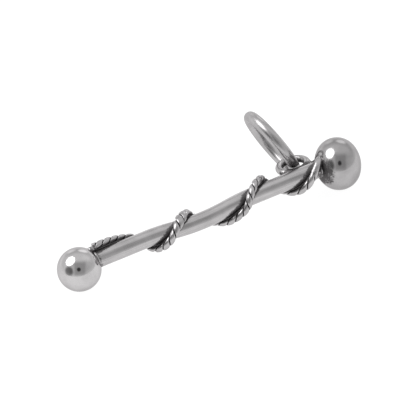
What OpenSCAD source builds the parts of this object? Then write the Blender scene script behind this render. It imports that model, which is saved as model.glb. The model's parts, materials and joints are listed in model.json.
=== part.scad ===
// Magic wand charm: a slim silver wand with a ball at its tip, a larger
// oblate knob at its other end, a two-strand rope of twisted wire wound
// round the shaft, a small soldered loop behind the shaft and a jump ring
// that hangs on the loop. It lies on a surface, +Z up, with the shaft along
// +X from the tip to the knob and the loop on the +Y side. Millimetres.

/* [Shaft] */
// Diameter of the round shaft
shaft_d = 1.45; // [1.2:0.05:1.7]
// Distance between the centres of the tip ball and the knob
centre_dist = 24; // [22.5:0.1:26]
// Depth of the shallow bend in the middle of the shaft
bend_depth = 0.3; // [0.05:0.01:0.5]
// Where the bend starts, from the tip ball's centre
bend_start = 6.2; // [5:0.1:7.5]
// Length of the bend along the shaft
bend_len = 9.8; // [8:0.1:11]
// Direction that the bend springs from, turned about the shaft from +Y
bend_roll = 53; // [0:1:90]
// How far the balls' centres sit below the shaft's axis
ball_drop = 0.24; // [0:0.01:0.4]
// How deep the shaft's ends sit past the centre of the ball and the knob
seat_depth = 0.6; // [0.2:0.05:1]

/* [Tip ball and knob] */
// Diameter of the tip ball
tip_d = 3.7; // [3.2:0.05:4]
// Diameter of the knob across the shaft
knob_d = 4.48; // [4.2:0.02:4.8]
// Length of the knob along the shaft
knob_len = 3.84; // [3.76:0.02:4]
// How far the knob's flattened end nods down from the shaft's line
knob_nod = 7; // [-10:1:10]
// How far the knob's flattened end turns towards the front
knob_turn = 5; // [-10:1:10]
// Radius of the knob's rounded side in section
knob_side_r = 1.8; // [1.75:0.01:1.83]
// Radius of the solder fillets where the shaft enters the balls
fillet_r = 0.22; // [0.1:0.01:0.3]

/* [Rope] */
// Thickness of each of the rope's two strands, out from the rope's middle
strand_d = 0.34; // [0.26:0.01:0.34]
// Width of each strand, across its thickness
strand_w = 0.57; // [0.4:0.01:0.6]
// Length of one full twist of the two strands
strand_lay = 1.7; // [1.4:0.05:2.2]
// Gap between the rope and the shaft
rope_gap = 0.01; // [0.005:0.005:0.05]
// Rings of points along each strand
strand_rings = 290; // [200:10:320]

/* [Loop and jump ring] */
// Distance along the shaft from the tip ball's centre to the loop's centre
loop_x = 20.86; // [20:0.05:21.2]
// Distance from the shaft's axis to the loop's centre
loop_reach = 2.27; // [2.27:0.01:2.5]
// How far the loop's plane drops below level, away from the shaft
loop_droop = 8.5; // [0:0.5:15]
// Diameter of the loop to the middle of its wire
loop_mid_d = 2.4; // [2.36:0.01:2.42]
// Diameter of the loop's wire
loop_wire_d = 0.64; // [0.56:0.01:0.66]
// Diameter of the jump ring to the middle of its wire
ring_mid_d = 5.8; // [5.75:0.05:5.9]
// Diameter of the jump ring's wire
ring_wire_d = 1; // [0.8:0.05:1]
// How far the jump ring stands up from the loop's plane
ring_rise = 58; // [0:1:60]

/* [Hidden] */
silver = "#b9b7b8";
dark_silver = "#6f6d6e";

rs = shaft_d / 2;
rt = tip_d / 2;
rk = knob_d / 2;
hk = knob_len / 2;
fit = 0.01;

// The shallow bend is three arcs that meet tangent to tangent
bend_a = 2 * atan(2 * bend_depth / bend_len);
bend_r = bend_len / (4 * sin(bend_a));

// Offset of the shaft's axis at x, along the bend's direction
function arc_sag(t) = bend_r - sqrt(bend_r * bend_r - t * t);
function bend_off(x) = let (u = x - bend_start)
    u <= 0 || u >= bend_len ? 0 :
    u < bend_len / 4 ? -arc_sag(u) :
    u < 3 * bend_len / 4 ? -bend_depth + arc_sag(u - bend_len / 2) :
    -arc_sag(bend_len - u);

// Half turns of the rope by distance along the shaft: whole even numbers
// are its passes over the top, whole odd numbers are those underneath
turns = [[0, -0.12], [1.3, -0.07], [2.9, 0.03], [4.55, 0.22], [5.6, 0.38],
         [7.15, 1], [8.65, 1.5], [10.1, 2], [10.75, 2.3], [12.65, 2.72],
         [13.7, 3], [14.9, 3.25], [15.5, 3.5], [16.3, 3.75], [17.2, 4],
         [17.75, 4.3], [19.1, 4.71], [20, 5], [21.5, 5.45], [23, 5.95]];
rope_x0 = 1.75;
rope_x1 = 21.6;
rope_top = 53;
rope_rad = rs + rope_gap + strand_d;

// Smooth curve through the table (cubic Hermite, mean slopes)
function seg(x, i = 1) = i >= len(turns) - 2 || x < turns[i + 1][0] ? i : seg(x, i + 1);
function slope(i) = (turns[i + 1][1] - turns[i - 1][1]) / (turns[i + 1][0] - turns[i - 1][0]);
function half_turns(x) = let (
    i = min(seg(x), len(turns) - 3),
    h = turns[i + 1][0] - turns[i][0],
    t = (x - turns[i][0]) / h,
    t2 = t * t, t3 = t2 * t)
    (2 * t3 - 3 * t2 + 1) * turns[i][1] + (t3 - 2 * t2 + t) * h * slope(i)
    + (3 * t2 - 2 * t3) * turns[i + 1][1] + (t3 - t2) * h * slope(i + 1);

function rope_ang(x) = rope_top - 180 * half_turns(x);
function rope_pt(x) = let (a = rope_ang(x), b = bend_off(x))
    [x, rope_rad * cos(a) + b * cos(bend_roll), rope_rad * sin(a) + b * sin(bend_roll)];
function unit(v) = v / norm(v);
function rope_tan(x) = unit(rope_pt(x + 0.01) - rope_pt(x - 0.01));
// Outward direction at the rope, square to its run
function rope_out(x) = let (a = rope_ang(x), r = [0, cos(a), sin(a)], t = rope_tan(x))
    unit(r - (r * t) * t);

function bump(x, at, reach) = exp(-pow((x - at) / reach, 2));
// The strands are twisted tighter near the tip and looser near the knob
function twist_len(x) = strand_lay * (1 - 0.1 * bump(x, 3, 3) + 0.35 * bump(x, 20.5, 1.8));
step_x = (rope_x1 - rope_x0) / (strand_rings - 1);
twists = [for (i = 0, l = 0; i < strand_rings;
               l = l + norm(rope_pt(rope_x0 + (i + 1) * step_x) - rope_pt(rope_x0 + i * step_x))
                       / twist_len(rope_x0 + i * step_x),
               i = i + 1) l];

// The rope is pressed wide and thin where it was hammered on: how much wider
function wide(x) = 1 + 0.2 * bump(x, 7.1, 0.8) + 0.45 * bump(x, 9.45, 0.65);
function thin_by(x) = 1 - 0.15 * bump(x, 9.45, 0.65);

// One strand: a wire of half-round section that twists about the rope's run
module strand(phase) {
    n = 8;
    m = strand_rings;
    off = strand_d / 4 + fit / 2;
    pts = [for (i = [0 : m - 1]) let (
        x = rope_x0 + i * step_x,
        t = rope_tan(x), o = thin_by(x) * rope_out(x), b = wide(x) * cross(t, rope_out(x)),
        w = phase - 360 * twists[i],
        c = rope_pt(x) + off * (cos(w) * o + sin(w) * b))
        for (k = [0 : n - 1]) let (
            q = 360 * k / n,
            e = strand_d * (cos(q) > 0 ? 0.75 : 0.25) * cos(q),
            f = strand_w / 2 * sin(q))
            c + (e * cos(w) - f * sin(w)) * o + (e * sin(w) + f * cos(w)) * b];
    sides = [for (i = [0 : m - 2]) for (k = [0 : n - 1]) let (
        a = i * n + k, b = i * n + (k + 1) % n)
        each [[a, a + n, b + n], [a, b + n, b]]];
    ends = [[for (k = [0 : n - 1]) k], [for (k = [n - 1 : -1 : 0]) (m - 1) * n + k]];
    polyhedron(points = pts, faces = concat(sides, ends), convexity = 20);
}

// Lies the wand down: its tip ball and its knob both touch z = 0
lean = asin((rk - rt) / centre_dist);
ring_r = ring_mid_d / 2;
loop_r = loop_mid_d / 2;
origin_x = 12.04;
origin_y = 2.93;
module lay() {
    translate([-origin_x, -origin_y, rt]) rotate([0, -lean, 0]) translate([0, 0, ball_drop]) children();
}

// Frame of the loop: +X along the shaft, +Y away from it, in its plane
module loop_frame() {
    rotate([-loop_droop, 0, 0]) translate([loop_x, loop_reach, 0]) children();
}

// Frame of the jump ring: its centre, with its axis along +Z
ring_axis = [0.939, 0.071, 0.337];
ring_hold = 1.93;
hold_pt = [loop_x, (loop_reach + loop_r) * cos(loop_droop), -(loop_reach + loop_r) * sin(loop_droop)];
rise_dir = [0, cos(ring_rise - loop_droop), sin(ring_rise - loop_droop)];
ring_dir = unit(rise_dir - (rise_dir * unit(ring_axis)) * unit(ring_axis));
ring_c = hold_pt + ring_hold * ring_dir;
module ring_frame() {
    n = unit(ring_axis);
    translate(ring_c) rotate([0, acos(n[2]), atan2(n[1], n[0])]) children();
}

// The arcs at either end of the bend are a hair thicker than the straight
// runs and the middle arc, which run into them by overlap_len
thin = 0.02;
overlap_len = 0.3;
module arc(a0, a1, d) {
    rotate([0, 0, a0]) rotate_extrude(angle = a1 - a0, $fn = 720)
        translate([bend_r, 0]) circle(d = d, $fn = 96);
}
module bent_rod(d) {
    more = overlap_len / bend_r * 180 / PI;
    rotate([bend_roll, 0, 0]) {
        translate([-seat_depth, 0, 0]) rotate([0, 90, 0])
            cylinder(d = d, h = bend_start + seat_depth + overlap_len, $fn = 96);
        translate([bend_start, -bend_r, 0]) arc(90 - bend_a, 90, d + thin);
        translate([bend_start + bend_len / 2, bend_r - bend_depth, 0])
            arc(270 - bend_a - more, 270 + bend_a + more, d);
        translate([bend_start + bend_len, -bend_r, 0]) arc(90, 90 + bend_a, d + thin);
        translate([bend_start + bend_len - overlap_len, 0, 0]) rotate([0, 90, 0])
            cylinder(d = d, h = centre_dist + seat_depth - bend_start - bend_len + overlap_len, $fn = 96);
    }
}

module tip_form() {
    translate([0, 0, -ball_drop]) rotate([0, 0, 180]) sphere(r = rt, $fn = 96);
}

// The knob's section is an oval of four arcs, turned about the shaft's line
knob_end_r = let (a = rk - knob_side_r) (a * a + hk * hk - knob_side_r * knob_side_r) / (2 * (hk - knob_side_r));
knob_c = knob_end_r - hk;
knob_tan = (rk - knob_side_r) * knob_end_r / (knob_end_r - knob_side_r);
module knob_form() {
    translate([centre_dist, 0, -ball_drop]) rotate([0, knob_nod, -knob_turn]) rotate([0, 90, 0])
        rotate_extrude($fn = 96) intersection() {
            translate([0, -knob_c]) circle(r = knob_end_r, $fn = 128);
            translate([0, knob_c]) circle(r = knob_end_r, $fn = 128);
            union() {
                translate([rk - knob_side_r, 0]) circle(r = knob_side_r, $fn = 128);
                translate([0, -hk - 1]) square([knob_tan, 2 * hk + 2]);
            }
            translate([0, -hk - 1]) square([rk + 1, 2 * hk + 2]);
        }
}

// A solder fillet round the shaft: it reaches x_end at the shaft's surface
module fillet(x_in, x_end) {
    rotate([0, 90, 0]) rotate_extrude($fn = 96) difference() {
        translate([rs, min(x_in, x_end)]) square([fillet_r, abs(x_end - x_in)]);
        translate([rs + fillet_r, x_end]) circle(r = fillet_r, $fn = 48);
    }
}

module shaft() {
    color(silver) lay() bent_rod(shaft_d);
}

module tip_ball() {
    color(silver) lay() difference() {
        tip_form();
        translate([-seat_depth, 0, 0]) rotate([0, 90, 0])
            cylinder(d = shaft_d + 2 * fit, h = 5, $fn = 96);
    }
}

module end_knob() {
    color(silver) lay() difference() {
        knob_form();
        translate([centre_dist + seat_depth, 0, 0]) rotate([0, -90, 0])
            cylinder(d = shaft_d + 2 * fit, h = 5, $fn = 96);
    }
}

module tip_solder() {
    color(dark_silver) lay() difference() {
        fillet(1.2, 1.92);
        tip_form();
        bead(rope_x0, -0.85, 0.6, 0.04);
    }
}

module knob_solder() {
    color(dark_silver) lay() difference() {
        fillet(centre_dist - 1.3, centre_dist - 2);
        knob_form();
        bead(rope_x1, -0.1, 1, 0.04);
    }
}

module rope_strand_a() {
    color(silver) lay() strand(0);
}

module rope_strand_b() {
    color(silver) lay() strand(180);
}

// A bead of solder round the rope's line, from z0 to z1 along its run at x
module bead(x, z0, z1, more) {
    t = rope_tan(x);
    translate(rope_pt(x)) rotate([0, acos(t[2]), atan2(t[1], t[0])])
        translate([0, 0, z0]) cylinder(r = strand_d + more, h = z1 - z0, $fn = 48);
}

module rope_tip_solder() {
    color(dark_silver) lay() difference() {
        bead(rope_x0, -0.85, -0.01, 0.03);
        tip_form();
        rotate([0, 90, 0]) cylinder(d = shaft_d, h = 5, $fn = 96);
    }
}

module rope_knob_solder() {
    color(dark_silver) lay() difference() {
        bead(rope_x1, 0.01, 0.85, 0.03);
        knob_form();
        translate([centre_dist - 5, 0, 0]) rotate([0, 90, 0]) cylinder(d = shaft_d, h = 5, $fn = 96);
    }
}

module loop_ring() {
    loop_frame() rotate_extrude($fn = 96) translate([loop_r, 0]) circle(d = loop_wire_d, $fn = 48);
}

module bail_loop() {
    color(silver) lay() loop_ring();
}

// The web of solder between the loop's near side and the shaft
module loop_solder() {
    web_t = 0.5;
    color(dark_silver) lay() difference() {
        loop_frame() difference() {
            translate([0, 0, -web_t / 2]) linear_extrude(web_t) difference() {
                union() {
                    intersection() {
                        circle(r = loop_r + loop_wire_d / 2 + 0.1, $fn = 96);
                        translate([-2, -loop_reach]) square([4, loop_reach - 0.62]);
                    }
                    translate([-1, -loop_reach]) square([2, loop_reach - loop_r]);
                }
                circle(r = loop_r, $fn = 96);
            }
        }
        loop_ring();
        translate([bend_start + bend_len, 0, 0]) rotate([0, 90, 0])
            cylinder(d = shaft_d, h = 12, $fn = 96);
    }
}

module jump_ring() {
    color(silver) lay() ring_frame()
        rotate_extrude($fn = 128) translate([ring_r, 0]) circle(d = ring_wire_d, $fn = 64);
}

shaft();
tip_ball();
end_knob();
tip_solder();
knob_solder();
rope_strand_a();
rope_strand_b();
rope_tip_solder();
rope_knob_solder();
bail_loop();
loop_solder();
jump_ring();
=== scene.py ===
import json
import math
import bpy
import bmesh
import numpy as np
from mathutils import Matrix, Vector, noise


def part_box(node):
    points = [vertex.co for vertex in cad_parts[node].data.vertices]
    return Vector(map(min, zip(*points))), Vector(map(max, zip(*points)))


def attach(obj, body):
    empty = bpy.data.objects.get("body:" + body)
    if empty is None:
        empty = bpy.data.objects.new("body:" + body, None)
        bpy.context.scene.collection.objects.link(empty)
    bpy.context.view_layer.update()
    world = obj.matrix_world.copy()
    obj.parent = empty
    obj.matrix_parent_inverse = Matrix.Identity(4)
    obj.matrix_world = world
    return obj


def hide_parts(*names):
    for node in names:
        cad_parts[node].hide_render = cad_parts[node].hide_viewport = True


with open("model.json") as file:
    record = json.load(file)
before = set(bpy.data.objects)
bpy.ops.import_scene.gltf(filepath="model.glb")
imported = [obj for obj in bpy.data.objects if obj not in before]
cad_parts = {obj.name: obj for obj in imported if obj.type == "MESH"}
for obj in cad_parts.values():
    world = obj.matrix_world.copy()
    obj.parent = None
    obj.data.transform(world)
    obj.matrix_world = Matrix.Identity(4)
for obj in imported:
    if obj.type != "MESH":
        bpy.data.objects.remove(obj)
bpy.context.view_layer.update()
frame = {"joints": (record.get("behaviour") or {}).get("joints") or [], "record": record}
scene = bpy.context.scene
MM = 0.001

# ---------------------------------------------------------------- the CAD frame
# The same rules as the CAD model's, in millimetres: the shaft's axis is X from
# the tip ball's centre, then the whole wand is laid down on its two balls.
SHAFT_D, CENTRE_DIST = 1.45, 24.0
BEND_DEPTH, BEND_START, BEND_LEN, BEND_ROLL = 0.3, 6.2, 9.8, 53.0
BALL_DROP = 0.24
TIP_D, KNOB_D, KNOB_LEN = 3.7, 4.48, 3.84
KNOB_NOD, KNOB_TURN, KNOB_SIDE_R = 7.0, 5.0, 1.8
STRAND_D, STRAND_W, STRAND_LAY, ROPE_GAP = 0.34, 0.57, 1.7, 0.01
LOOP_X, LOOP_REACH, LOOP_DROOP, LOOP_MID_D, LOOP_WIRE_D = 20.86, 2.27, 8.5, 2.4, 0.64
RING_MID_D, RING_WIRE_D = 5.8, 1.0
RS, RT, RK, HK = SHAFT_D / 2, TIP_D / 2, KNOB_D / 2, KNOB_LEN / 2
LEAN = math.asin((RK - RT) / CENTRE_DIST)

tip_lo, tip_hi = (np.array(c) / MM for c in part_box("tip_ball"))
# The tip ball's box gives where the wand lies: its sides are whole but for the shaft's hole
ORIGIN = np.array([tip_lo[0] + RT, (tip_lo[1] + tip_hi[1]) / 2, RT])


def rot_y(a):
    c, s = math.cos(a), math.sin(a)
    return np.array([[c, 0, s], [0, 1, 0], [-s, 0, c]])


def rot_x(a):
    c, s = math.cos(a), math.sin(a)
    return np.array([[1, 0, 0], [0, c, -s], [0, s, c]])


def rot_z(a):
    c, s = math.cos(a), math.sin(a)
    return np.array([[c, -s, 0], [s, c, 0], [0, 0, 1]])


LAY = rot_y(-LEAN)


def lay(p):
    """Points in the wand's own frame, in mm, to the part's frame."""
    return (np.asarray(p, float) + [0, 0, BALL_DROP]) @ LAY.T + ORIGIN


def unit(v):
    v = np.asarray(v, float)
    return v / np.linalg.norm(v, axis=-1, keepdims=True)


BEND_A = 2 * math.atan(2 * BEND_DEPTH / BEND_LEN)
BEND_R = BEND_LEN / (4 * math.sin(BEND_A))
BEND_DIR = np.array([0, math.cos(math.radians(BEND_ROLL)), math.sin(math.radians(BEND_ROLL))])


def bend_off(x):
    x = np.asarray(x, float)
    u = x - BEND_START
    sag = lambda t: BEND_R - np.sqrt(np.maximum(BEND_R * BEND_R - t * t, 0))
    off = np.where(u < BEND_LEN / 4, -sag(u),
                   np.where(u < 3 * BEND_LEN / 4, -BEND_DEPTH + sag(u - BEND_LEN / 2), -sag(BEND_LEN - u)))
    return np.where((u <= 0) | (u >= BEND_LEN), 0.0, off)


TURNS = np.array([[0, -0.12], [1.3, -0.07], [2.9, 0.03], [4.55, 0.22], [5.6, 0.38], [7.15, 1], [8.65, 1.5],
                  [10.1, 2], [10.75, 2.3], [12.65, 2.72], [13.7, 3], [14.9, 3.25], [15.5, 3.5], [16.3, 3.75],
                  [17.2, 4], [17.75, 4.3], [19.1, 4.71], [20, 5], [21.5, 5.45], [23, 5.95]])
ROPE_X0, ROPE_X1, ROPE_TOP = 1.75, 21.6, 53.0
ROPE_RAD = RS + ROPE_GAP + STRAND_D


def half_turns(x):
    x = np.asarray(x, float)
    X, V = TURNS[:, 0], TURNS[:, 1]
    i = np.clip(np.searchsorted(X, x, side="right") - 1, 1, len(X) - 3)
    sl = lambda k: (V[k + 1] - V[k - 1]) / (X[k + 1] - X[k - 1])
    h = X[i + 1] - X[i]
    t = (x - X[i]) / h
    t2, t3 = t * t, t * t * t
    return ((2 * t3 - 3 * t2 + 1) * V[i] + (t3 - 2 * t2 + t) * h * sl(i)
            + (3 * t2 - 2 * t3) * V[i + 1] + (t3 - t2) * h * sl(i + 1))


def rope_pt(x, rad=ROPE_RAD):
    x = np.asarray(x, float)
    a = np.radians(ROPE_TOP - 180 * half_turns(x))
    b = bend_off(x)
    return np.stack([x, rad * np.cos(a) + b * BEND_DIR[1], rad * np.sin(a) + b * BEND_DIR[2]], -1)


def rope_frame(x):
    """Run, outward and sideways directions of the rope at x."""
    a = np.radians(ROPE_TOP - 180 * half_turns(x))
    r = np.stack([np.zeros_like(a), np.cos(a), np.sin(a)], -1)
    t = unit(rope_pt(x + 0.01) - rope_pt(x - 0.01))
    o = unit(r - (r * t).sum(-1, keepdims=True) * t)
    return t, o, np.cross(t, o)


# ---------------------------------------------------------------- mesh helpers
def fbm(p, scale, octaves=3, seed=0.0):
    """Smooth noise at points p in mm, about -1 to 1."""
    out = np.empty(len(p))
    for i, q in enumerate(p):
        out[i] = noise.fractal(Vector((q[0] * scale + seed, q[1] * scale - seed, q[2] * scale + 2 * seed)), 1.0, 2.0,
                               octaves)
    return out


def new_mesh(name, verts_mm, faces, attrs=None):
    me = bpy.data.meshes.new(name)
    me.from_pydata((np.asarray(verts_mm) * MM).tolist(), [], [tuple(map(int, f)) for f in faces])
    me.update()
    for key, val in (attrs or {}).items():
        a = me.attributes.new(key, "FLOAT", "POINT")
        a.data.foreach_set("value", np.asarray(val, np.float32))
    me.polygons.foreach_set("use_smooth", [True] * len(me.polygons))
    bm = bmesh.new()
    bm.from_mesh(me)
    bmesh.ops.recalc_face_normals(bm, faces=bm.faces)
    bm.to_mesh(me)
    bm.free()
    ob = bpy.data.objects.new(name, me)
    scene.collection.objects.link(ob)
    return ob


def tube_faces(m, n, closed_run=False, caps=True):
    """Faces of a tube of m rings of n points."""
    i = np.arange(m if closed_run else m - 1)[:, None]
    k = np.arange(n)[None, :]
    a = i * n + k
    b = i * n + (k + 1) % n
    c = ((i + 1) % m) * n + (k + 1) % n
    d = ((i + 1) % m) * n + k
    faces = np.stack([a, d, c, b], -1).reshape(-1, 4).tolist()
    if caps and not closed_run:
        faces.append(list(range(n)))
        faces.append(list(range((m - 1) * n, m * n))[::-1])
    return faces


def revolve(profile, n, frame_fn):
    """A closed surface of revolution: profile is (along, radius) pairs from pole to pole, both poles on the axis."""
    prof = np.asarray(profile, float)
    inner = prof[1:-1]
    ang = np.linspace(0, 2 * np.pi, n, endpoint=False)
    ring = np.stack([np.broadcast_to(inner[:, :1], (len(inner), n)),
                     inner[:, 1:] * np.cos(ang), inner[:, 1:] * np.sin(ang)], -1).reshape(-1, 3)
    pts = np.vstack([ring, [[prof[0, 0], 0, 0]], [[prof[-1, 0], 0, 0]]])
    faces = tube_faces(len(inner), n, caps=False)
    a, b = len(ring), len(ring) + 1
    for k in range(n):
        faces.append([a, k, (k + 1) % n])
        s = (len(inner) - 1) * n
        faces.append([b, s + (k + 1) % n, s + k])
    return frame_fn(pts), faces


# ---------------------------------------------------------------- where the rope passes, for the oxide, painted shade and painted reflection beside it
rope_s = np.linspace(ROPE_X0 - 0.5, ROPE_X1 + 0.5, 1600)
rope_line = rope_pt(rope_s)
rope_across = rope_frame(rope_s)[2]


def rope_side(p):
    """For points p in the wand's frame: how far each lies from the rope's middle, along the shaft's surface, with a
    minus sign on the side towards the tip."""
    out = np.empty(len(p))
    for s in range(0, len(p), 4000):
        q = p[s:s + 4000]
        lo = max(0, np.searchsorted(rope_s, q[:, 0].min() - 2.5))
        hi = min(len(rope_s), np.searchsorted(rope_s, q[:, 0].max() + 2.5))
        d2 = ((q[:, None, :] - rope_line[None, lo:hi, :]) ** 2).sum(-1)
        j = d2.argmin(1)
        d = np.sqrt(d2[np.arange(len(q)), j])
        lat = np.sqrt(np.maximum(d * d - (ROPE_RAD - RS) ** 2, 0))
        out[s:s + 4000] = lat * np.sign(((q - rope_line[lo + j]) * rope_across[lo + j]).sum(1))
    return out


def smooth(lo, hi, v):
    t = np.clip((v - lo) / (hi - lo), 0, 1)
    return t * t * (3 - 2 * t)


# ---------------------------------------------------------------- the shaft
def make_shaft():
    n, m = 112, 900
    xs = np.linspace(0.9, CENTRE_DIST - 0.9, m)
    ang = np.linspace(0, 2 * np.pi, n, endpoint=False)
    e = np.stack([np.zeros(n), np.cos(ang), np.sin(ang)], -1)
    off = bend_off(xs)[:, None, None] * BEND_DIR
    # hand drawing leaves the round a little uneven along its length
    wob = np.array([[noise.noise(Vector((x * 0.55, 1.3 * math.cos(a), 1.3 * math.sin(a)))) for a in ang[::8]]
                    for x in xs[::10]])
    wi = np.empty((m, n))
    xi = np.arange(m) / 10
    x0 = np.clip(xi.astype(int), 0, wob.shape[0] - 1)
    x1 = np.clip(x0 + 1, 0, wob.shape[0] - 1)
    fx = (xi - x0)[:, None]
    ai = np.arange(n) / 8
    a0 = ai.astype(int) % wob.shape[1]
    a1 = (a0 + 1) % wob.shape[1]
    fa = (ai - ai.astype(int))[None, :]
    fa = fa * fa * (3 - 2 * fa)
    fx = fx * fx * (3 - 2 * fx)
    wi = ((wob[x0][:, a0] * (1 - fa) + wob[x0][:, a1] * fa) * (1 - fx)
          + (wob[x1][:, a0] * (1 - fa) + wob[x1][:, a1] * fa) * fx)
    rad = RS * (1 - 0.004) + 0.004 * wi
    p = np.stack([np.broadcast_to(xs[:, None], (m, n))] * 3, -1) * [1, 0, 0] + rad[..., None] * e + off
    p = p.reshape(-1, 3)
    side = rope_side(p)
    # oxide beside the rope with painted shade and a painted reflection of the rope: wide on the side towards the tip,
    # narrow on the other, but wide on both beside the rope's first stretch
    first = 1 - smooth(3.0, 6.2, p[:, 0])
    near = np.where(side < 0, 1 - smooth(0.36, 1.0, -side),
                    1 - smooth(0.30 + 0.22 * first, 0.62 + 0.30 * first, np.maximum(side, 0)))
    ends = np.maximum(0.6 * (1 - smooth(1.76, 2.05, p[:, 0])), 0.75 * smooth(CENTRE_DIST - 2.5, CENTRE_DIST - 1.9, p[:, 0]))
    oxide_and_shade = np.maximum(near, ends)
    return new_mesh("shaft_rod", lay(p), tube_faces(m, n), {"oxide_and_shade": oxide_and_shade})


# ---------------------------------------------------------------- the ball and the knob
def make_ball():
    k = 120
    ang = np.linspace(0, np.pi, k)
    prof = np.stack([-RT * np.cos(ang), RT * np.sin(ang)], -1)
    pts, faces = revolve(prof, 160, lambda q: q)
    u = unit(pts)
    pts = pts * (1 - 0.0012 + 0.0012 * fbm(u, 1.6, 2, 3.1))[:, None]
    d = np.linalg.norm(pts - [RT, 0, BALL_DROP], axis=1)
    oxide_and_shade = 0.55 * (1 - smooth(0.74, 0.92, d))
    dr = np.linalg.norm(pts + [0, 0, -BALL_DROP] - rope_pt(np.array([ROPE_X0 - 0.15]))[0], axis=1)
    oxide_and_shade = np.maximum(oxide_and_shade, 1 - smooth(0.35, 0.6, dr))
    return new_mesh("tip_ball_polished", lay(pts + [0, 0, -BALL_DROP]), faces, {"oxide_and_shade": oxide_and_shade})


def knob_profile(k=60):
    a = RK - KNOB_SIDE_R
    end_r = (a * a + HK * HK - KNOB_SIDE_R ** 2) / (2 * (HK - KNOB_SIDE_R))
    c = end_r - HK
    # tangent point of an end arc with the side arc, seen from the end arc's centre
    t_end = math.atan2(a, c)
    th1 = np.linspace(0, t_end, k // 2, endpoint=False)
    end = np.stack([-(end_r * np.cos(th1) - c), end_r * np.sin(th1)], -1)
    phi0 = math.pi / 2 - t_end
    phi = np.linspace(phi0, -phi0, k)
    side = np.stack([-KNOB_SIDE_R * np.sin(phi), a + KNOB_SIDE_R * np.cos(phi)], -1)
    return np.vstack([end, side, (end * [-1, 1])[::-1]])


KNOB_ROT = rot_y(math.radians(KNOB_NOD)) @ rot_z(math.radians(-KNOB_TURN))


def make_knob():
    pts, faces = revolve(knob_profile(), 176, lambda q: q)
    u = unit(pts)
    pts = pts * (1 - 0.0015 + 0.0015 * fbm(u, 1.5, 2, 7.7))[:, None]
    q = pts @ KNOB_ROT.T + [CENTRE_DIST, 0, -BALL_DROP]
    # oxide left round the shaft's end and by the loop's solder, and beside the rope's end oxide with a painted
    # reflection of the rope
    d = np.hypot(q[:, 1], q[:, 2])
    front = smooth(-1.2, -1.75, q[:, 0] - CENTRE_DIST)
    ring = (1 - smooth(0.95, 1.75, d)) * (q[:, 0] < CENTRE_DIST)
    oxide_and_shade = np.maximum(ring, 0.0) * (0.35 + 0.65 * front)
    # a dark patch on the front beside the rope's end: oxide, and a painted reflection of the rope
    patch = unit(q - [CENTRE_DIST, 0, -BALL_DROP]) @ unit(np.array([-0.88, -0.38, 0.17]))
    oxide_and_shade = np.maximum(oxide_and_shade, 0.86 * smooth(0.70, 0.96, patch))
    return new_mesh("knob_polished", lay(q), faces, {"oxide_and_shade": oxide_and_shade})


# ---------------------------------------------------------------- the rope's strands
def bump(x, at, reach):
    return np.exp(-((x - at) / reach) ** 2)


def wide(x):
    """The rope was pressed wider where it was flattened against the shaft."""
    return 1 + 0.2 * bump(x, 7.1, 0.8) + 0.45 * bump(x, 9.45, 0.65)


def thin_by(x):
    return 1 - 0.15 * bump(x, 9.45, 0.65)


def twist_len(x):
    return STRAND_LAY * (1 - 0.1 * bump(x, 3, 3) + 0.35 * bump(x, 20.5, 1.8))


def make_strand(name, phase):
    n, m = 36, 2600
    xs = np.linspace(ROPE_X0, ROPE_X1, m)
    c0 = rope_pt(xs)
    twists = np.concatenate([[0], np.cumsum(np.linalg.norm(np.diff(c0, axis=0), axis=1) / twist_len(xs[:-1]))])
    t, o, b = rope_frame(xs)
    out, side = o * thin_by(xs)[:, None], b * wide(xs)[:, None]
    w = (np.radians(phase) - 2 * np.pi * twists)[:, None]
    q = np.linspace(0, 2 * np.pi, n, endpoint=False)[None, :]
    off = STRAND_D / 4 + 0.005
    # a little hand in the winding: the strands swell and thin by a few hundredths
    hand = 1 - 0.03 + 0.03 * np.array([noise.noise(Vector((x * 2.1, phase * 0.01, 4.0))) for x in xs])[:, None]
    e, f = STRAND_D * np.where(np.cos(q) > 0, 0.75, 0.25) * np.cos(q) * hand, STRAND_W / 2 * np.sin(q) * hand
    u, v = (off + e) * np.cos(w) - f * np.sin(w), (off + e) * np.sin(w) + f * np.cos(w)
    rel = u[..., None] * out[:, None, :] + v[..., None] * side[:, None, :]
    rad = np.hypot(u, v)
    # worn a little flat on the crest, where it was polished
    flat = np.clip(rad - 0.325, 0, None)
    rel = rel * (1 - 0.35 * flat * (u > 0) / np.maximum(rad, 1e-6))[..., None]
    p = c0[:, None, :] + rel
    # grooves between the strands dark with oxide; the side facing the shaft darker still, oxide with painted shade
    # under the rope
    crest = smooth(0.215, 0.275, rad)
    low = smooth(-0.20, 0.05, u)
    oxide_and_shade = 1 - crest * low
    return new_mesh(name, lay(p.reshape(-1, 3)), tube_faces(m, n), {"oxide_and_shade": oxide_and_shade.ravel()})


# ---------------------------------------------------------------- solder
def make_fillet(name, x_end, size, oxide_and_shade_level, seed):
    """A small ring of solder with a hollow face and an uneven edge."""
    n, k = 120, 14
    sgn = 1 if x_end < CENTRE_DIST / 2 else -1
    ang = np.linspace(0, 2 * np.pi, n, endpoint=False)
    pts = []
    for a in ang:
        j = noise.noise(Vector((math.cos(a) * 1.7 + seed, math.sin(a) * 1.7, seed)))
        rr = size * (1 + 0.3 * j)
        face = np.linspace(0, math.pi / 2, k)
        prof = [(x_end - sgn * rr * math.sin(f), RS - 0.01 + rr * (1 - math.cos(f))) for f in face]
        prof += [(x_end - sgn * (rr + 0.25), RS - 0.01 + rr), (x_end - sgn * (rr + 0.25), RS - 0.06),
                 (x_end, RS - 0.06)]
        for x, r in prof:
            pts.append([x, r * math.cos(a), r * math.sin(a)])
    m = k + 3
    return new_mesh(name, lay(np.array(pts)), tube_faces(n, m, closed_run=True),
                    {"oxide_and_shade": np.full(len(pts), oxide_and_shade_level)})


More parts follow.
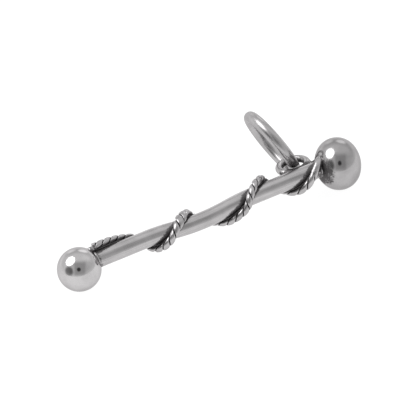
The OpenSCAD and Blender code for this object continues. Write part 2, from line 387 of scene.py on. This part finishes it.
def make_end(name, x0, x1, wide, tall, taper0, taper1, oxide_and_shade_level, seam=None):
    """A smooth flattened end of the rope, run along the rope's own line, and the seam of solder that fills
    the corner between the rope and the shaft; both are dark with oxide and with painted shade, the end on its side
    facing the shaft."""
    n, m = 40, 90
    xs = np.linspace(x0, x1, m)
    t, o, b = rope_frame(xs)
    s = np.linspace(0, 1, m)
    size = np.sqrt(np.clip(1 - np.clip((taper0 - s) / taper0, 0, 1) ** 2, 0, 1)) * np.sqrt(
        np.clip(1 - np.clip((s - 1 + taper1) / taper1, 0, 1) ** 2, 0, 1))
    size = np.maximum(size, 0.02)
    ang = np.linspace(0, 2 * np.pi, n, endpoint=False)
    c0 = rope_pt(xs, RS + tall * 0.92)
    p = (c0[:, None, :] + (tall * size)[:, None, None] * np.cos(ang)[None, :, None] * o[:, None, :]
         + (wide * size)[:, None, None] * np.sin(ang)[None, :, None] * b[:, None, :])
    # darker on the side facing the shaft: oxide and painted shade under the end
    tn = oxide_and_shade_level + (1 - oxide_and_shade_level) * (1 - smooth(-0.5, 0.25, np.cos(ang)))[None, :] * np.ones((m, 1))
    p, faces, tn = p.reshape(-1, 3), tube_faces(m, n), tn.ravel()
    if seam:
        ns, ms = 16, 1200
        xs = np.linspace(seam[0], seam[1], ms)
        o, b = rope_frame(xs)[1:]
        ang = np.linspace(0, 2 * np.pi, ns, endpoint=False)
        size = np.sqrt(np.clip(1 - (2 * np.linspace(0, 1, ms) - 1) ** 40, 0.01, 1))[:, None, None]
        j = np.array([noise.noise(Vector((x * 1.7, 2.0, 5.0))) for x in xs])[:, None, None]
        c = rope_pt(xs, RS + 0.045)
        ps = (c[:, None, :] + size * 0.12 * np.cos(ang)[None, :, None] * o[:, None, :]
              + size * (0.19 + 0.04 * j) * np.sin(ang)[None, :, None] * b[:, None, :]).reshape(-1, 3)
        faces = faces + [[k + len(p) for k in f] for f in tube_faces(ms, ns)]
        # the seam is coloured fully dark: oxide, and painted shade in the corner under the rope
        p, tn = np.vstack([p, ps]), np.concatenate([tn, np.ones(len(ps))])
    return new_mesh(name, lay(p), faces, {"oxide_and_shade": tn})


# ---------------------------------------------------------------- the loop and the jump ring
def torus(name, mid_r, wire_r, frame_fn, n_run, n_sec, seed, darkening_fn, uneven=0.004):
    run = np.linspace(0, 2 * np.pi, n_run, endpoint=False)
    sec = np.linspace(0, 2 * np.pi, n_sec, endpoint=False)
    wob = np.array([noise.noise(Vector((math.cos(a) * 1.2 + seed, math.sin(a) * 1.2, seed))) for a in run])
    r = wire_r * (1 - uneven + uneven * wob)[:, None]
    x = (mid_r + r * np.cos(sec)) * np.cos(run)[:, None]
    y = (mid_r + r * np.cos(sec)) * np.sin(run)[:, None]
    z = r * np.sin(sec)
    p = np.stack([x, y, np.broadcast_to(z, x.shape)], -1)
    oxide_and_shade_level = darkening_fn(p, run, sec)
    return new_mesh(name, frame_fn(p.reshape(-1, 3)), tube_faces(n_run, n_sec, closed_run=True),
                    {"oxide_and_shade": oxide_and_shade_level.ravel()})


LOOP_ROT = rot_x(math.radians(-LOOP_DROOP))


def loop_frame(p):
    return lay((np.asarray(p) + [LOOP_X, LOOP_REACH, 0]) @ LOOP_ROT.T)


def loop_darkening(p, run, sec):
    # dark towards the shaft and inside the eye
    near = smooth(-0.35, -1.05, p[..., 1])
    inner = smooth(0.25, 0.95, -np.cos(sec))[None, :] * np.ones((len(run), 1))
    return np.maximum(0.85 * near, 0.7 * inner)


ring_rec = frame["joints"][0]
eye = [m for m in frame["record"]["mounts"] if m["name"] == "ring_eye"][0]
RING_C = np.array(eye["pos_m"]) / MM
RING_N = unit(np.array(ring_rec["axis"]))
HOLD = np.array(ring_rec["pos_m"]) / MM
ring_x = unit((HOLD - RING_C) - ((HOLD - RING_C) @ RING_N) * RING_N)
ring_y = np.cross(RING_N, ring_x)
RING_M = np.stack([ring_x, ring_y, RING_N], 1)


def ring_frame(p):
    return np.asarray(p) @ RING_M.T + RING_C


def ring_painted_shade(p, run, sec):
    # painted shade where the ring passes through the loop's eye, darkest on the ring's inside beside the loop
    near = np.exp(-(np.minimum(run, 2 * np.pi - run) / 0.42) ** 2)[:, None]
    inner = smooth(0.1, 0.95, -np.cos(sec))[None, :]
    return np.clip(near * (0.35 + 0.65 * inner) + 0.35 * inner * smooth(1.4, 0.4, np.minimum(run, 2 * np.pi - run))[:, None], 0, 1)


# ---------------------------------------------------------------- materials
def nodes_of(mat):
    mat.use_nodes = True
    nt = mat.node_tree
    nt.nodes.clear()
    return nt, nt.nodes, nt.links


def silver(name, base=(0.535, 0.524, 0.529), rough=(0.10, 0.17), grain=(1.0, 1.0, 1.0), scratch=0.5, oxide_and_shade_weight=1.0,
           feather=0.35, pits=0.0, fine=5200.0, lines=0.0, edge=0.70):
    """Polished silver with rub marks, and a near-black colour where the piece's darkening value is high: black oxide,
    and on some pieces painted shade and painted reflections.
    """
    mat = bpy.data.materials.new(name)
    nt, N, L = nodes_of(mat)
    out = N.new("ShaderNodeOutputMaterial")
    bsdf = N.new("ShaderNodeBsdfPrincipled")
    L.new(bsdf.outputs[0], out.inputs[0])
    bsdf.inputs["Metallic"].default_value = 1.0
    bsdf.inputs["Specular Tint"].default_value = (edge, edge * 0.986, edge * 0.993, 1)
    tc = N.new("ShaderNodeTexCoord")
    mp = N.new("ShaderNodeMapping")
    mp.inputs["Scale"].default_value = grain
    L.new(tc.outputs["Object"], mp.inputs["Vector"])

    def tex(scale, detail=4.0, vec=None, rough_=0.55):
        t = N.new("ShaderNodeTexNoise")
        t.inputs["Scale"].default_value = scale
        t.inputs["Detail"].default_value = detail
        t.inputs["Roughness"].default_value = rough_
        L.new((vec or mp.outputs["Vector"]), t.inputs["Vector"])
        return t

    def ranged(src, a, b, c, d, kind="SMOOTHSTEP"):
        r = N.new("ShaderNodeMapRange")
        r.interpolation_type = kind
        r.inputs["From Min"].default_value = a
        r.inputs["From Max"].default_value = b
        r.inputs["To Min"].default_value = c
        r.inputs["To Max"].default_value = d
        L.new(src, r.inputs["Value"])
        return r.outputs["Result"]

    def math_(op, a, b):
        m = N.new("ShaderNodeMath")
        m.operation = op
        for i, v in enumerate((a, b)):
            if isinstance(v, (int, float)):
                m.inputs[i].default_value = v
            else:
                L.new(v, m.inputs[i])
        return m.outputs[0]

    streak = tex(2600.0, 5.0)                                  # rub marks, drawn out along the piece
    cloud = tex(700.0, 3.0, tc.outputs["Object"])              # slow change from bright to greyer
    finen = tex(fine, 6.0, tc.outputs["Object"], 0.7)           # fine wear
    # the dark colour follows each piece's darkening attribute: black oxide, and on some pieces painted shade and
    # painted reflections
    at = N.new("ShaderNodeAttribute")
    at.attribute_name = "oxide_and_shade"
    edge = math_("ADD", at.outputs["Fac"],
                 math_("MULTIPLY", math_("SUBTRACT", finen.outputs["Fac"], 0.5), feather * 2.2))
    edge = math_("ADD", edge, math_("MULTIPLY", math_("SUBTRACT", streak.outputs["Fac"], 0.5), feather))
    mask = math_("MULTIPLY", ranged(edge, 0.34, 0.82, 0.0, 1.0), oxide_and_shade_weight)
    if pits:
        spots = tex(1900.0, 1.0, tc.outputs["Object"])
        mask = math_("MAXIMUM", mask, ranged(spots.outputs["Fac"], 0.78, 0.83, 0.0, pits))
    tone_by = ranged(cloud.outputs["Fac"], 0.3, 0.7, 0.0, 1.0)
    if lines:
        # draw lines, finer than the rub marks
        drawn = tex(8200.0, 3.0, None, 0.65)
        tone_by = math_("ADD", math_("MULTIPLY", tone_by, 0.45),
                        math_("MULTIPLY", math_("SUBTRACT", drawn.outputs["Fac"], 0.28), lines))
    tone = N.new("ShaderNodeMix")
    tone.data_type = "RGBA"
    deep = 0.88 - 0.10 * lines
    tone.inputs["A"].default_value = (base[0] * deep, base[1] * deep, base[2] * deep, 1)
    tone.inputs["B"].default_value = (base[0] * 1.05, base[1] * 1.05, base[2] * 1.05, 1)
    L.new(tone_by, tone.inputs["Factor"])
    col = N.new("ShaderNodeMix")
    col.data_type = "RGBA"
    L.new(tone.outputs["Result"], col.inputs["A"])
    col.inputs["B"].default_value = (0.115, 0.110, 0.112, 1)
    L.new(mask, col.inputs["Factor"])
    L.new(col.outputs["Result"], bsdf.inputs["Base Color"])
    r0 = ranged(math_("ADD", streak.outputs["Fac"], math_("MULTIPLY", cloud.outputs["Fac"], 0.6)), 0.5, 1.1, rough[0],
                rough[1])
    rmix = N.new("ShaderNodeMix")
    rmix.data_type = "FLOAT"
    L.new(mask, rmix.inputs["Factor"])
    L.new(r0, rmix.inputs["A"])
    rmix.inputs["B"].default_value = 0.48
    L.new(rmix.outputs["Result"], bsdf.inputs["Roughness"])
    bump = N.new("ShaderNodeBump")
    bump.inputs["Strength"].default_value = 1.0
    bump.inputs["Distance"].default_value = 0.0000022 * scratch
    h = math_("ADD", streak.outputs["Fac"], math_("MULTIPLY", finen.outputs["Fac"], 0.35))
    h = math_("SUBTRACT", h, math_("MULTIPLY", mask, 1.6))
    L.new(h, bump.inputs["Height"])
    L.new(bump.outputs["Normal"], bsdf.inputs["Normal"])
    return mat


# ---------------------------------------------------------------- build
m_rod = silver("silver_rod", base=(0.500, 0.489, 0.494), rough=(0.23, 0.34), grain=(0.03, 1.0, 1.0), scratch=2.4,
               feather=0.7, pits=0.8, lines=1.6, edge=1.0)
m_ball = silver("silver_ball", rough=(0.09, 0.15), scratch=0.5, feather=0.5, pits=0.25)
m_knob = silver("silver_knob", base=(0.405, 0.396, 0.400), rough=(0.10, 0.18), scratch=0.8, feather=0.62, pits=0.35)
m_rope = silver("silver_rope", base=(0.455, 0.445, 0.450), rough=(0.17, 0.27), scratch=0.7, feather=0.28)
m_ring = silver("silver_ring", base=(0.440, 0.431, 0.435), rough=(0.22, 0.32), scratch=1.0, feather=0.5, pits=0.3)
m_loop = silver("silver_loop", base=(0.460, 0.450, 0.454), rough=(0.14, 0.23), scratch=0.8, feather=0.4)
m_solder = silver("silver_solder", base=(0.430, 0.421, 0.425), rough=(0.20, 0.32), scratch=1.5, feather=0.9)


def place(ob, body, mat, slot, *nodes):
    ob.data.materials.clear()
    ob.data.materials.append(mat)
    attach(ob, body)
    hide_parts(*nodes)
    return ob


place(make_shaft(), "wand", m_rod, "silver_polished", "shaft")
place(make_ball(), "wand", m_ball, "silver_polished", "tip_ball")
place(make_knob(), "wand", m_knob, "silver_polished", "end_knob")
place(make_strand("rope_wire_a", 0), "wand", m_rope, "silver_rope", "rope_strand_a")
place(make_strand("rope_wire_b", 180), "wand", m_rope, "silver_rope", "rope_strand_b")
place(make_fillet("tip_fillet", 1.78, 0.07, 0.15, 2.2), "wand", m_solder, "silver_solder", "tip_solder")
place(make_fillet("knob_fillet", CENTRE_DIST - 2, 0.15, 0.7, 5.4), "wand", m_solder, "silver_solder", "knob_solder")
place(make_end("rope_tip_bead", 1.15, 1.98, 0.27, 0.25, 0.3, 0.25, 0.45, seam=(1.6, 12.0)), "wand", m_solder, "silver_solder",
      "rope_tip_solder")
place(make_end("rope_knob_bead", 21.0, 22.65, 0.34, 0.29, 0.35, 0.28, 0.2, seam=(12.0, 21.9)), "wand", m_rope, "silver_solder",
      "rope_knob_solder")
place(torus("bail_ring", LOOP_MID_D / 2, LOOP_WIRE_D / 2, loop_frame, 200, 56, 1.9, loop_darkening, 0.01), "wand", m_loop,
      "silver_polished", "bail_loop")
place(torus("jump_ring_wire", RING_MID_D / 2, RING_WIRE_D / 2, ring_frame, 300, 72, 4.2, ring_painted_shade), "ring", m_ring,
      "silver_polished", "jump_ring")


def make_web():
    """The solder between the loop and the shaft, grown into one smooth mass from overlapping drops."""
    drops = []
    for i, a in enumerate(np.linspace(200, 340, 13)):
        r = LOOP_MID_D / 2 + 0.12
        q = np.array([r * math.cos(math.radians(a)), r * math.sin(math.radians(a)), 0.0])
        drops.append((q, 0.30 if 3 < i < 9 else 0.24))
    for x in np.linspace(-0.8, 0.8, 9):
        drops.append((np.array([x, -LOOP_REACH + RS + 0.02, 0.0]), 0.24))
    drops = [(loop_frame(q[None])[0], r) for q, r in drops]
    # a little ran on along the shaft to the knob
    for x in np.linspace(21.7, 22.5, 7):
        drops.append((lay(np.array([[x, 0.52, 0.40]]))[0], 0.22))
    bm = bmesh.new()
    for q, r in drops:
        c = q * MM
        bmesh.ops.create_icosphere(bm, subdivisions=3, radius=r * MM, matrix=Matrix.Translation(Vector(c)))
    me = bpy.data.meshes.new("bail_solder")
    bm.to_mesh(me)
    bm.free()
    ob = bpy.data.objects.new("bail_solder", me)
    scene.collection.objects.link(ob)
    md = ob.modifiers.new("r", "REMESH")
    md.mode = "VOXEL"
    md.voxel_size = 0.035 * MM
    sm = ob.modifiers.new("s", "SMOOTH")
    sm.iterations = 6
    sm.factor = 0.6
    dg = bpy.context.evaluated_depsgraph_get()
    me2 = bpy.data.meshes.new_from_object(ob.evaluated_get(dg))
    ob.modifiers.clear()
    ob.data = me2
    a = me2.attributes.new("oxide_and_shade", "FLOAT", "POINT")
    a.data.foreach_set("value", np.full(len(me2.vertices), 0.75, np.float32))
    me2.polygons.foreach_set("use_smooth", [True] * len(me2.polygons))
    return ob


place(make_web(), "wand", m_solder, "silver_solder", "loop_solder")

# ---------------------------------------------------------------- camera
# The wand rises to the right across the view and its knob end is the farther one
THETA, SLOPE, DELTA = math.radians(15.0), math.radians(22.2), math.radians(21.0)
X = np.array([math.cos(THETA) * math.cos(SLOPE), math.cos(THETA) * math.sin(SLOPE), -math.sin(THETA)])
Z = unit(np.array([0.0, 1.0, X[1] / -X[2] * -1.0]))
Z = unit(np.array([0.0, 1.0, -X[1] / X[2]]))
Y = np.cross(Z, X)
M = np.array([X, Y, Z])
R = rot_y(-LEAN) @ rot_x(DELTA)
right, up, back = R @ M[:, 0], R @ M[:, 1], R @ M[:, 2]
PPM, DIST = 12.05, 320.0
mid = ORIGIN + rot_y(-LEAN) @ np.array([CENTRE_DIST / 2, 0, 0])
aim = mid + (208 - 209.8) / PPM * right + (216.0 - 208) / PPM * up
cam_data = bpy.data.cameras.new("camera")
cam = bpy.data.objects.new("camera", cam_data)
scene.collection.objects.link(cam)
mat4 = Matrix.Identity(4)
for i in range(3):
    mat4[i][0], mat4[i][1], mat4[i][2] = right[i], up[i], back[i]
    mat4[i][3] = (aim[i] + back[i] * DIST) * MM
cam.matrix_world = mat4
cam_data.sensor_width = 36.0
cam_data.lens = 36.0 * DIST / (416 / PPM)
cam_data.clip_start = 0.01
cam_data.clip_end = 50.0
scene.camera = cam

# ---------------------------------------------------------------- floor and light
def make_floor():
    me = bpy.data.meshes.new("floor")
    s = 2.5
    me.from_pydata([(-s, -s, 0), (s, -s, 0), (s, s, 0), (-s, s, 0)], [], [(0, 1, 2, 3)])
    ob = bpy.data.objects.new("floor", me)
    ob.location = (0, 0, -0.00002)
    scene.collection.objects.link(ob)
    mat = bpy.data.materials.new("floor_white")
    nt, N, L = nodes_of(mat)
    out = N.new("ShaderNodeOutputMaterial")
    b = N.new("ShaderNodeBsdfPrincipled")
    b.inputs["Base Color"].default_value = (0.16, 0.16, 0.16, 1)
    b.inputs["Roughness"].default_value = 0.9
    b.inputs["Specular IOR Level"].default_value = 0.0
    b.inputs["Emission Color"].default_value = (1, 1, 1, 1)
    b.inputs["Emission Strength"].default_value = 0.94
    L.new(b.outputs[0], out.inputs[0])
    me.materials.append(mat)
    return ob


make_floor()


def softbox(name, direction, dist, width, radiance):
    ld = bpy.data.lights.new(name, "AREA")
    ld.shape = "DISK"
    ld.size = width
    ld.energy = radiance * math.pi * math.pi * width * width / 4
    ob = bpy.data.objects.new(name, ld)
    scene.collection.objects.link(ob)
    d = Vector(unit(np.array(direction)))
    ob.location = Vector(aim * MM) + d * dist
    ob.rotation_euler = d.to_track_quat("Z", "Y").to_euler()
    return ob


def from_view(a, b, c):
    return a * right + b * up + c * back


softbox("key", from_view(-0.674, 0.607, 0.421), 0.33, 0.27, 2.6)


def make_world():
    w = bpy.data.worlds.new("studio")
    scene.world = w
    w.use_nodes = True
    nt = w.node_tree
    N, L = nt.nodes, nt.links
    N.clear()
    out = N.new("ShaderNodeOutputWorld")
    bg = N.new("ShaderNodeBackground")
    L.new(bg.outputs[0], out.inputs[0])
    tc = N.new("ShaderNodeTexCoord")

    def dot(v):
        d = N.new("ShaderNodeVectorMath")
        d.operation = "DOT_PRODUCT"
        L.new(tc.outputs["Generated"], d.inputs[0])
        d.inputs[1].default_value = tuple(map(float, v))
        return d.outputs["Value"]

    def ranged(src, a, b, c, d):
        r = N.new("ShaderNodeMapRange")
        r.interpolation_type = "SMOOTHSTEP"
        for k, v in zip(("From Min", "From Max", "To Min", "To Max"), (a, b, c, d)):
            r.inputs[k].default_value = v
        L.new(src, r.inputs["Value"])
        return r.outputs["Result"]

    def op(kind, a, b):
        m = N.new("ShaderNodeMath")
        m.operation = kind
        for i, v in enumerate((a, b)):
            if isinstance(v, (int, float)):
                m.inputs[i].default_value = v
            else:
                L.new(v, m.inputs[i])
        return m.outputs[0]

    def lobe(v, c0, c1):
        """1 inside the cone of half angle c0 degrees about v, fading to 0 at c1."""
        return ranged(dot(unit(np.array(v))), math.cos(math.radians(c1)), math.cos(math.radians(c0)), 0.0, 1.0)

    a, b, c = dot(right), dot(up), dot(back)
    # the tent's grey wall, its darker opening round the lens, the lens, and a dark stand beside it
    box = op("MULTIPLY", op("MULTIPLY", ranged(a, -0.50, -0.28, 0, 1), ranged(a, 0.42, 0.68, 1, 0)),
             op("MULTIPLY", ranged(b, -0.62, -0.4, 0, 1), ranged(b, 0.5, 0.80, 1, 0)))
    box = op("MULTIPLY", box, ranged(c, 0.05, 0.4, 0, 1))
    level = op("SUBTRACT", 0.71, op("MULTIPLY", box, 0.22))
    level = op("MULTIPLY", level, op("SUBTRACT", 1.0, op("MULTIPLY", lobe(back, 6.5, 13), 0.88)))
    level = op("MULTIPLY", level, op("SUBTRACT", 1.0, op("MULTIPLY", lobe(from_view(-0.79, -0.15, 0.59), 13, 29), 0.90)))
    # the upper wall is lighter
    level = op("ADD", level, op("MULTIPLY", ranged(b, 0.42, 0.85, 0.0, 0.26), ranged(c, -0.3, 0.2, 0.0, 1.0)))
    # the lit backdrop behind, low down, and its brighter patch
    fwd = unit(np.array([-back[0], -back[1], 0.0]))
    side_lift = ranged(dot(fwd), 0.0, 0.9, 0.0, 1.0)
    up_z = dot([0, 0, 1])
    band = op("MULTIPLY", ranged(up_z, 0.42, 0.05, 0.0, 1.0), side_lift)
    level = op("ADD", level, op("MULTIPLY", band, 0.30))
    level = op("ADD", level, op("MULTIPLY", lobe(from_view(0.161, 0.891, -0.423), 5, 17), 0.8))
    level = op("ADD", level, op("MULTIPLY", lobe(from_view(-0.35, 0.75, -0.549), 4, 14), 0.45))
    # a little more light from the left, and the floor's light on the foot of the walls
    level = op("ADD", level, op("MULTIPLY", ranged(a, -0.3, -1.0, 0.0, 1.0), 0.18))
    level = op("ADD", level, op("MULTIPLY", ranged(up_z, 0.34, 0.0, 0.0, 1.0), 0.14))
    L.new(level, bg.inputs["Strength"])
    bg.inputs["Color"].default_value = (1.0, 1.0, 1.0, 1)


make_world()
scene.view_settings.view_transform = "Standard"
scene.view_settings.look = "None"
